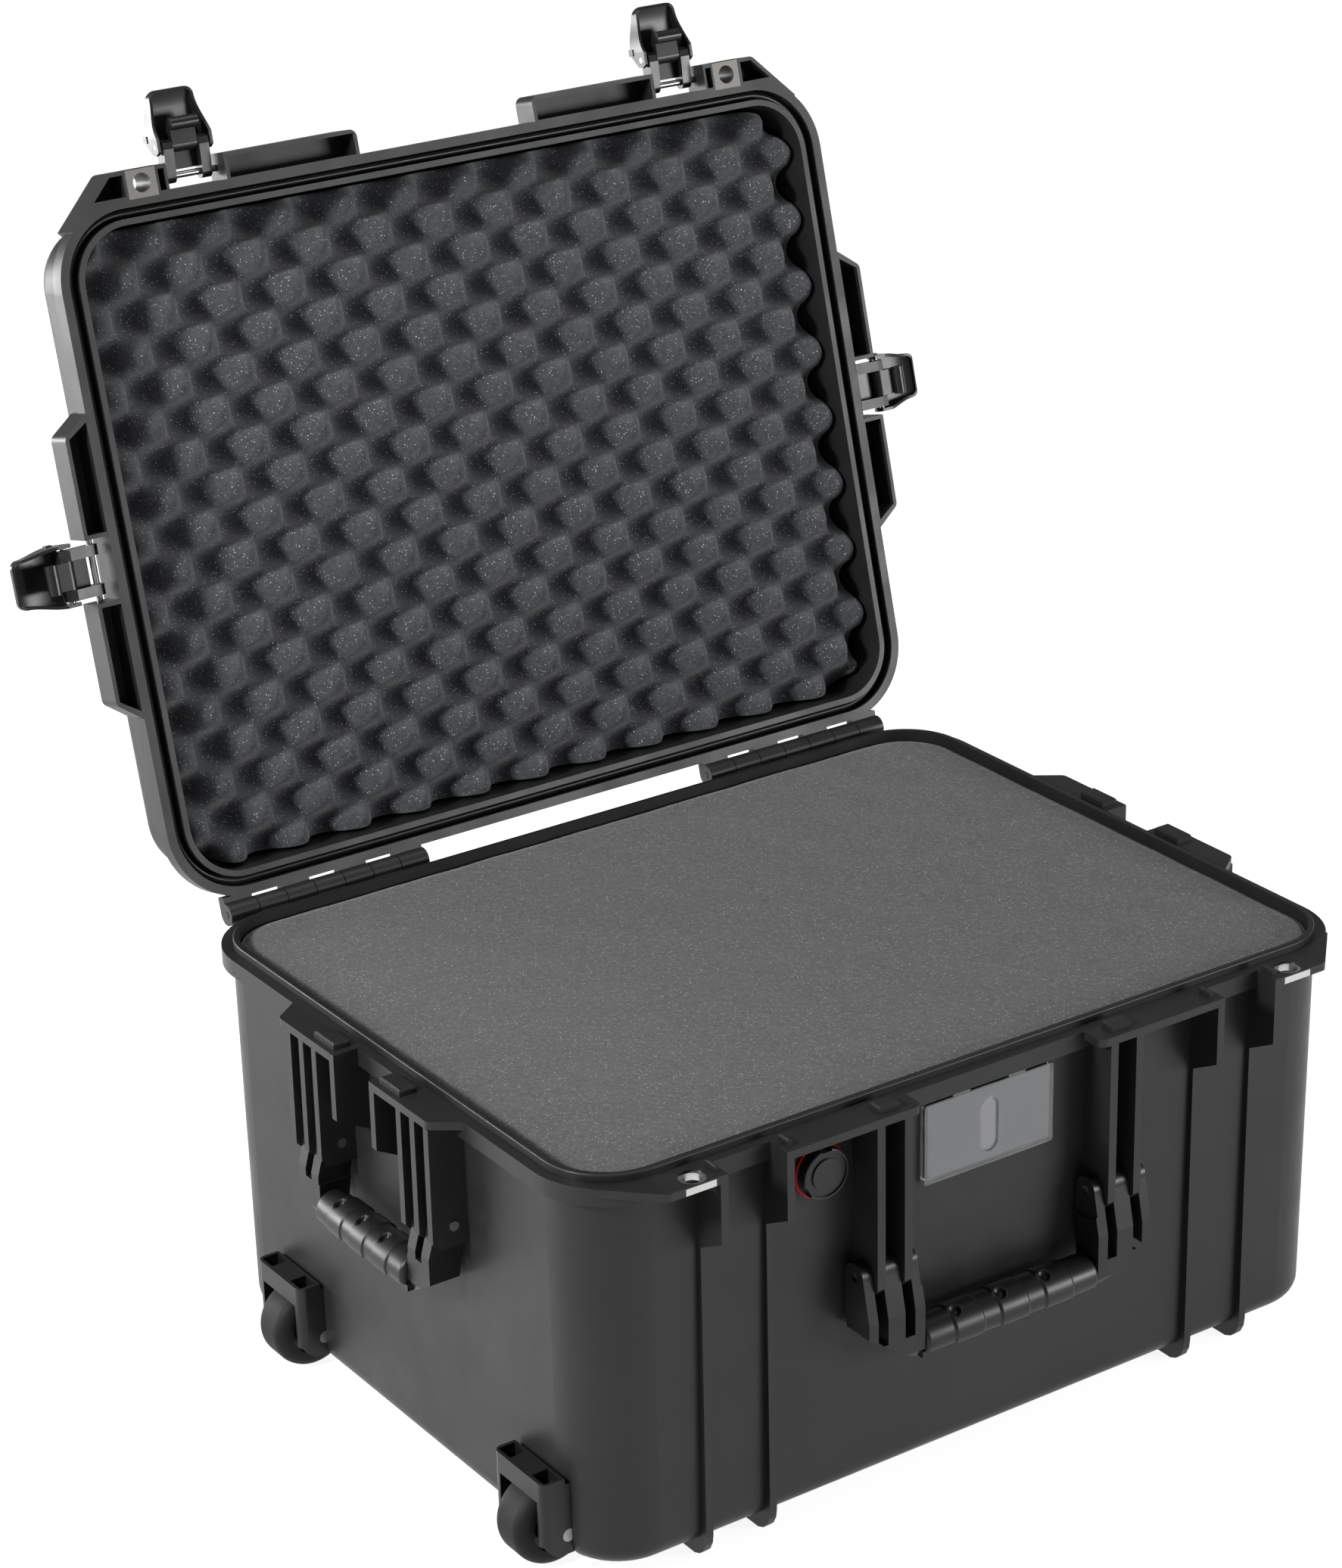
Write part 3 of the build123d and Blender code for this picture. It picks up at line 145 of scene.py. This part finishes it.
def moulded(name, color, roughness, grain=0.7 * MM, depth=0.05 * MM, wear=0.35,
            specular=0.26):
    """Moulded polymer with a fine spark-eroded grain."""
    shader = Shader(name, color, roughness, specular=specular)
    cloud = shader.noise(0.09, 3.0)
    darker = tuple(c * 0.86 for c in color)
    lighter = tuple(c * 1.16 for c in color)
    shader.paint(shader.ramp(cloud, 0.3, 0.7, darker, lighter))
    shader.roughness(shader.noise(0.035, 4.0), 0.3, 0.7,
                     roughness - 0.05, roughness + 0.06)
    shader.bump(shader.noise(grain, 2.5, rough=0.6), depth)
    shader.bump(shader.noise(0.05, 1.0), 0.0002, 0.5)
    if wear:
        shader.wear(tuple(min(1.0, c * 2.2) for c in color), wear)
    return shader.material


def foam(name, dark, light, cell, depth, glint_paint_level, glint_size=1.1 * MM):
    """Open cell foam: small pits, soft mottling and painted glints, a few cells lightened in the
    colour as painted highlights.
    """
    shader = Shader(name, light, 0.95, specular=0.2)
    mottled = shader.noise(cell * 1.6, 4.0, rough=0.7)
    base = shader.ramp(mottled, 0.32, 0.68, dark, light)
    # painted highlights: a few random cells are mixed towards a pale tint, standing in for light
    # glinting off cell walls
    cells = shader.node("ShaderNodeTexVoronoi", feature="F1")
    cells.inputs["Scale"].default_value = 1.0 / glint_size
    shader.link(shader.place, cells.inputs["Vector"])
    near = shader.ramp(cells.outputs["Distance"], 0.1, 0.36, WHITE, BLACK)
    chance = shader.node("ShaderNodeSeparateColor")
    shader.link(cells.outputs["Color"], chance.inputs["Color"])
    some = shader.ramp(chance.outputs["Red"], 0.78, 0.98, BLACK, WHITE)
    painted_glints = shader.mix(1.0, near, some, "MULTIPLY")
    glint_tint = shader.ramp(chance.outputs["Green"], 0.0, 1.0,
                       (0.55, 0.58, 0.62), (0.66, 0.6, 0.5))
    # how strongly the painted highlights lighten the colour
    painted_glint_share = shader.mix(1.0, painted_glints, (glint_paint_level, glint_paint_level, glint_paint_level, 1.0), "MULTIPLY")
    shader.paint(shader.mix(painted_glint_share, base, glint_tint))
    shader.bump(mottled, depth)
    shader.bump(shader.noise(0.006, 3.0), depth * 1.6, 0.5)
    shader.bsdf.inputs["Sheen Weight"].default_value = 0.15
    shader.bsdf.inputs["Sheen Roughness"].default_value = 0.6
    return shader.material


def metal(name, color, roughness, stretch, grain=1.5 * MM):
    """Ground or drawn metal with fine lines along one direction."""
    shader = Shader(name, color, roughness, metallic=1.0)
    lines = shader.noise(grain, 3.0, stretch)
    shader.paint(shader.ramp(lines, 0.3, 0.7, tuple(c * 0.85 for c in color), color))
    shader.roughness(lines, 0.3, 0.7, roughness - 0.06, roughness + 0.1)
    shader.bump(lines, 0.00003)
    return shader.material


def rubber(name, color, roughness):
    """Smooth rubber with faint cloudy scuffs."""
    shader = Shader(name, color, roughness, specular=0.15)
    scuffs = shader.noise(0.012, 5.0, rough=0.65)
    shader.paint(shader.ramp(scuffs, 0.35, 0.75, color, tuple(c * 1.7 for c in color)))
    shader.roughness(scuffs, 0.3, 0.7, roughness - 0.06, roughness + 0.1)
    shader.bump(shader.noise(0.0009, 2.0), 0.00003)
    return shader.material


def clear_plastic(name):
    """Clear sleeve with a faint haze."""
    shader = Shader(name, (0.7, 0.71, 0.72), 0.14, specular=0.5)
    shader.bsdf.inputs["Transmission Weight"].default_value = 0.96
    shader.bsdf.inputs["IOR"].default_value = 1.46
    haze = shader.noise(0.03, 3.0)
    shader.roughness(haze, 0.3, 0.7, 0.08, 0.2)
    shader.bump(shader.noise(0.02, 2.0), 0.00005)
    return shader.material


def plain_card(name):
    """Blank pale grey card."""
    shader = Shader(name, (0.15, 0.152, 0.156), 0.5)
    fibres = shader.noise(0.0008, 3.0, (1, 1, 4))
    shader.paint(shader.ramp(fibres, 0.3, 0.7,
                             (0.14, 0.142, 0.146), (0.16, 0.162, 0.166)))
    shader.bump(fibres, 0.00002)
    return shader.material


SHELL = moulded("shell_polymer", (0.0085, 0.0085, 0.0092), 0.42)
TRIM = moulded("trim_polymer", (0.0065, 0.0065, 0.007), 0.34, grain=0.8 * MM, depth=0.03 * MM)
LATCH = moulded("latch_polymer", (0.006, 0.006, 0.0063), 0.30, grain=0.9 * MM,
                depth=0.02 * MM, specular=0.28)
GRIP = moulded("grip_overmould", (0.007, 0.007, 0.0075), 0.36, depth=0.02 * MM, wear=0.2)
VALVE = moulded("valve_polymer", (0.008, 0.008, 0.0084), 0.36, depth=0.02 * MM)
SEAL = rubber("seal_rubber", (0.006, 0.006, 0.0065), 0.28)
SEAL_RED = rubber("seal_red", (0.22, 0.010, 0.008), 0.45)
TYRE = rubber("tyre_rubber", (0.005, 0.005, 0.0054), 0.6)
STEEL = metal("ground_steel", (0.5, 0.49, 0.48), 0.3, (1, 1, 12))
# painted shade: a darker copy of the ground steel, used for the hasp plates on the lid
SHADED_STEEL = metal("shaded_steel", (0.13, 0.125, 0.12), 0.5, (1, 1, 12))
PIN_STEEL = metal("pin_steel", (0.3, 0.3, 0.3), 0.32, (12, 1, 1))
TUBE = metal("drawn_tube", (0.6, 0.61, 0.62), 0.3, (1, 14, 14))
FOAM_BASE = foam("base_foam", (0.0155, 0.0145, 0.0142), (0.047, 0.0445, 0.0432),
                 cell=1.6 * MM, depth=0.3 * MM, glint_paint_level=0.75)
FOAM_LID = foam("lid_foam_skin", (0.016, 0.0175, 0.021), (0.041, 0.043, 0.048),
                cell=1.4 * MM, depth=0.3 * MM, glint_paint_level=1.0)
CLEAR = clear_plastic("clear_sleeve")
CARD = plain_card("blank_card")

LOOKS = [  # the first part of a name that fits gives the node its material
    ("lid_gasket", SEAL), ("pressure_valve_seal", SEAL_RED), ("pressure_valve", VALVE),
    ("card_holder", CLEAR), ("name_card", CARD), ("hasp_plate_lid", SHADED_STEEL),
    ("hasp_plate", STEEL), ("wheel_housing_screws", PIN_STEEL),
    ("trolley_cover_screws", PIN_STEEL),
    ("hinge_pin", TRIM), ("_pin", PIN_STEEL), ("_axle", PIN_STEEL), ("_bearings", STEEL),
    ("_tyre", TYRE), ("_hub", TRIM), ("wheel_housing", TRIM), ("trolley_guide_tubes", TUBE),
    ("trolley_middle_stage", TUBE), ("trolley_inner_tubes", TUBE), ("trolley_cover", SHELL),
    ("trolley", TRIM), ("latch", LATCH), ("_grip", GRIP), ("handle", TRIM),
    ("foam", FOAM_BASE), ("shell", SHELL),
]
for name, cad in frame["nodes"].items():
    look = next(material for part, material in LOOKS if part in name)
    cad.data.materials.clear()
    cad.data.materials.append(look)


# ---------------------------------------------------------------- lid frame
hinge = next(j for j in frame["joints"] if j["name"] == "lid_hinge")
hinge_at = Vector(hinge["pos_m"])
OPEN = (Matrix.Translation(hinge_at)
        @ Matrix.Rotation(-radians(hinge["range_deg"][1]), 4, "X")
        @ Matrix.Translation(-hinge_at))
SHUT = OPEN.inverted()
hinge_behind = 222.2 * MM              # from the middle of the lower shell back to the hinge
shell_y = hinge_at.y - hinge_behind    # the middle of the lower shell


def shut_box(node):
    """Lowest and highest corners of a lid node when the lid is shut."""
    points = [SHUT @ v.co for v in frame["nodes"][node].data.vertices]
    low = Vector([min(p[i] for p in points) for i in range(3)])
    high = Vector([max(p[i] for p in points) for i in range(3)])
    return low, high


def new_object(name, verts, faces, material, smooth=True):
    mesh = bpy.data.meshes.new(name)
    mesh.from_pydata([tuple(v) for v in verts], [], faces)
    mesh.update()
    if smooth:
        mesh.polygons.foreach_set("use_smooth", [True] * len(mesh.polygons))
    mesh.materials.append(material)
    made = bpy.data.objects.new(name, mesh)
    bpy.context.scene.collection.objects.link(made)
    return made


def corner_inset(x, y, half_x, half_y, radius):
    """How far a point lies inside the outline of a rounded rectangle."""
    dx = max(abs(x) - (half_x - radius), 0.0)
    dy = max(abs(y) - (half_y - radius), 0.0)
    if dx > 0 and dy > 0:
        return radius - hypot(dx, dy)
    return min(half_x - abs(x), half_y - abs(y))


def pad(name, half, center, radius, step, top, bottom, material, place=None):
    """Closed foam pad over a rounded rectangle.

    top and bottom give the height at (x, y) that lies inset inside the outline.
    """
    half_x, half_y = half
    nx = int(round(2 * half_x / step))
    ny = int(round(2 * half_y / step))
    verts = []

    def at(i, j):
        """Grid point pulled onto the rounded outline near the corners."""
        x = (2 * i / nx - 1) * half_x
        y = (2 * j / ny - 1) * half_y
        dx = abs(x) - (half_x - radius)
        dy = abs(y) - (half_y - radius)
        if dx > 0 and dy > 0:
            reach = hypot(dx, dy)
            scale = max(dx, dy) / reach
            x = (half_x - radius + dx * scale) * (1 if x > 0 else -1)
            y = (half_y - radius + dy * scale) * (1 if y > 0 else -1)
        return x, y

    for level in (top, bottom):
        for j in range(ny + 1):
            for i in range(nx + 1):
                x, y = at(i, j)
                inset = corner_inset(x, y, half_x, half_y, radius)
                verts.append((center[0] + x, center[1] + y, level(x, y, inset)))
    row = nx + 1
    layer = row * (ny + 1)
    faces = []
    for j in range(ny):
        for i in range(nx):
            a = j * row + i
            faces.append((a, a + 1, a + row + 1, a + row))
            b = a + layer
            faces.append((b, b + row, b + row + 1, b + 1))
    ring = list(range(row))
    ring += [j * row + nx for j in range(1, ny + 1)]
    ring += [ny * row + i for i in range(nx - 1, -1, -1)]
    ring += [j * row for j in range(ny - 1, 0, -1)]
    for a, b in zip(ring, ring[1:] + ring[:1]):
        faces.append((a, a + layer, b + layer, b))
    if place is not None:
        verts = [place @ Vector(v) for v in verts]
    return new_object(name, verts, faces, material)


def edge_fall(inset, width, depth):
    """How far a soft cut edge drops at a distance inset from the outline."""
    return depth * exp(-max(inset, 0.0) / width)


# ---------------------------------------------------------------- foam
wave_pitch = 44.4 * MM        # from one peak of the wave foam to the next in its row
wave_height = 23.0 * MM       # from valley to peak
wave_power = 0.72             # below 1, peaks are broader than a plain wave's
wave_shift = (14.0 * MM, -187.0 * MM + shell_y)    # the place of one peak, lid shut
lid_foam_gap, base_foam_gap = 1.0 * MM, 0.3 * MM          # inside the plain CAD pads
lid_foam_corner, base_foam_corner = 34 * MM, 37 * MM      # radius of the corners in plan
lid_foam_step, base_foam_step = 2.4 * MM, 4.0 * MM        # size of a face
lid_foam_rough, base_foam_rough = 0.6 * MM, 0.35 * MM     # how uneven the faces are


def plan_of(low, high, gap):
    """Half sizes and middle, in plan, of a box that shrinks by gap on each side."""
    half = ((high.x - low.x) / 2 - gap, (high.y - low.y) / 2 - gap)
    return half, ((high.x + low.x) / 2, (high.y + low.y) / 2)


def make_lid_foam():
    """Wave foam in the lid, laid out with the lid shut and then opened."""
    low, high = shut_box("lid_foam")
    half, center = plan_of(low, high, lid_foam_gap)

    def face(x, y, inset):
        """The wave side faces down when the lid is shut."""
        u = (center[0] + x - wave_shift[0]) * 2 * pi / wave_pitch
        v = (center[1] + y - wave_shift[1]) * 2 * pi / wave_pitch
        wave = cos(u) * cos(v)
        crest = 0.5 + 0.5 * (abs(wave) ** wave_power) * (1 if wave > 0 else -1)
        rough = noise.noise(Vector((x, y, 0.3)) * 60) * lid_foam_rough
        fall = edge_fall(inset, 1.2 * MM, 1.5 * MM)
        return low.z + wave_height * (1 - crest) + rough + fall

    def back(x, y, inset):
        return high.z - 0.3 * MM

    made = pad("wave_foam_lid", half, center, lid_foam_corner, lid_foam_step, back, face,
               FOAM_LID, OPEN)
    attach(made, "lid")
    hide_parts("lid_foam")


def make_base_foam():
    """Top layer of the block foam, with an uneven face and soft cut edges."""
    low, high = (Vector(corner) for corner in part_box("foam_top_layer"))
    half, center = plan_of(low, high, base_foam_gap)

    def face(x, y, inset):
        rough = noise.noise(Vector((x, y, 1.7)) * 45) * base_foam_rough
        return high.z - base_foam_gap + rough - edge_fall(inset, 1.6 * MM, 1.8 * MM)

    def under(x, y, inset):
        return low.z + 0.1 * MM

    made = pad("foam_top_pad", half, center, base_foam_corner, base_foam_step, face, under,
               FOAM_BASE)
    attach(made, "base")
    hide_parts("foam_top_layer")


make_lid_foam()
make_base_foam()


# ---------------------------------------------------------------- handle grips
grip_radius = 13.5 * MM
band_rise = 0.9 * MM          # three wrapped bands stand proud of the sleeve
band_places = (-0.52, 0.0, 0.52)
band_half = 0.16              # half of a band's width, as a share of half the grip
band_edge = 0.02              # width of a band's soft edge, as the same share
band_from, band_to = radians(-32), radians(150)
band_end = radians(5)         # width of the soft edge at the two ends of the wrap
waist = 1.0 * MM              # the sleeve thins by this towards its ends
end_round = 2.5 * MM
dimple_depth = 3.2 * MM
dimple_place = 0.6            # towards one edge of the band, as a share of its half width
dimple_angle = radians(68)    # up from the front
dimple_half = (0.06, radians(17))
dimple_slope = 2.2            # above 1, the dimple has a level floor
grip_flat = 5.0 * MM          # the sleeve is flat below, on the rail
grip_stations, grip_ring = 240, 96    # points along the sleeve and around it


def ease(value, width):
    """Soft step from 0 to 1 over width, about zero."""
    t = min(max(value / width + 0.5, 0.0), 1.0)
    return t * t * (3 - 2 * t)


def sleeve_radius(s, angle, half):
    """Radius of the grip at s from -1 to 1 along it and at an angle up from the front."""
    radius = grip_radius - band_rise - waist * s * s
    from_end = (1 - abs(s)) * half
    if from_end < end_round:
        radius -= end_round * (1 - (1 - (1 - from_end / end_round) ** 2) ** 0.5)
    turn = (angle + pi) % (2 * pi) - pi
    wrapped = ease(turn - band_from, band_end) * ease(band_to - turn, band_end)
    for place in band_places:
        radius += band_rise * ease(band_half - abs(s - place), band_edge) * wrapped
        across = (s - place + band_half * dimple_place) / dimple_half[0]
        around = (turn - dimple_angle) / dimple_half[1]
        inside = 1 - across * across - around * around
        if inside > 0:
            radius -= dimple_depth * min(1.0, inside * dimple_slope)
    return radius


def make_grip(handle, along, out):
    """Soft sleeve of one handle; along and out are its length's and its front's directions."""
    low, high = (Vector(corner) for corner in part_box(f"handle_{handle}_grip"))
    middle = (low + high) / 2
    middle.z = high.z - grip_radius
    half = abs((high - low).dot(along)) / 2
    stations, ring = grip_stations, grip_ring
    verts = []
    for i in range(stations + 1):
        s = 2 * i / stations - 1
        for j in range(ring):
            angle = 2 * pi * j / ring
            radius = sleeve_radius(s, angle, half)
            height = max(radius * sin(angle), -grip_flat)
            verts.append(middle + along * (s * half) + out * (radius * cos(angle))
                         + Vector((0, 0, height)))
    last_ring = range(stations * ring, (stations + 1) * ring)
    faces = [tuple(range(ring)), tuple(reversed(last_ring))]
    for i in range(stations):
        for j in range(ring):
            a, b = i * ring + j, i * ring + (j + 1) % ring
            faces.append((b, a, a + ring, b + ring))
    made = new_object(f"grip_sleeve_{handle}", verts, faces, GRIP)
    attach(made, f"handle_{handle}")
    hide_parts(f"handle_{handle}_grip")


make_grip("front", Vector((1, 0, 0)), Vector((0, -1, 0)))
make_grip("left", Vector((0, -1, 0)), Vector((-1, 0, 0)))
make_grip("right", Vector((0, 1, 0)), Vector((1, 0, 0)))


# ---------------------------------------------------------------- floor, light and camera
floor_half = 30.0
floor_glow = 0.9              # the rest of its white is light from the lamps
sky_level = 0.24              # the world's even light


def make_floor():
    verts = [(x * floor_half, y * floor_half, 0) for x, y in ((-1, -1), (1, -1), (1, 1), (-1, 1))]
    shader = Shader("studio_floor", (0.3, 0.3, 0.3), 0.8, specular=0.0)
    shader.bsdf.inputs["Emission Color"].default_value = (*WHITE, 1.0)
    shader.bsdf.inputs["Emission Strength"].default_value = floor_glow
    floor = new_object("studio_floor", verts, [(0, 1, 2, 3)], shader.material, smooth=False)


def area_light(name, location, target, size, power):
    """Soft lamp aimed at target; both places are counted from the lower shell's middle."""
    data = bpy.data.lights.new(name, "AREA")
    data.shape = "RECTANGLE"
    data.size, data.size_y = size
    data.energy = power
    lamp = bpy.data.objects.new(name, data)
    lamp.location = Vector(location) + Vector((0, shell_y, 0))
    aim = Vector(target) - Vector(location)
    lamp.rotation_euler = aim.to_track_quat("-Z", "Y").to_euler()
    bpy.context.scene.collection.objects.link(lamp)


def make_light():
    world = bpy.data.worlds.new("studio")
    bpy.context.scene.world = world
    world.use_nodes = True
    background = world.node_tree.nodes["Background"]
    background.inputs["Color"].default_value = (*WHITE, 1.0)
    background.inputs["Strength"].default_value = sky_level
    area_light("key_left", (-1.7, 2.1, 0.45), (-0.27, 0, 0.12), (1.6, 0.7), 80)
    area_light("front_right", (1.9, -2.4, 0.7), (0.1, -0.2, 0.15), (1.4, 0.8), 80)
    area_light("lid_left", (-2.2, -0.05, 1.5), (0, 0.2, 0.5), (0.4, 0.4), 92)
    area_light("top_soft", (0.2, 0.2, 2.6), (0, 0, 0.25), (1.6, 1.2), 24)


def make_camera():
    """Camera that was fitted to the photo: its place, bearing, elevation, roll and lens."""
    azimuth, elevation, roll = radians(-34.27), radians(23.11), radians(-1.28)
    position = Vector((-1.3162, -1.8277 + shell_y, 1.3137))
    level = cos(elevation)
    back = Vector((sin(azimuth) * level, -cos(azimuth) * level, sin(elevation)))
    side = (-back).cross(Vector((0, 0, 1))).normalized()
    up = side.cross(-back)
    right = cos(roll) * side + sin(roll) * up
    above = -sin(roll) * side + cos(roll) * up
    data = bpy.data.cameras.new("camera")
    data.sensor_fit = "AUTO"
    data.sensor_width = 36.0
    data.lens = 95.05
    data.clip_end = 100.0
    camera = bpy.data.objects.new("camera", data)
    camera.matrix_world = Matrix((
        (right.x, above.x, back.x, position.x),
        (right.y, above.y, back.y, position.y),
        (right.z, above.z, back.z, position.z),
        (0, 0, 0, 1)))
    bpy.context.scene.collection.objects.link(camera)
    bpy.context.scene.camera = camera


make_floor()
make_light()
make_camera()
bpy.context.scene.view_settings.view_transform = "Standard"
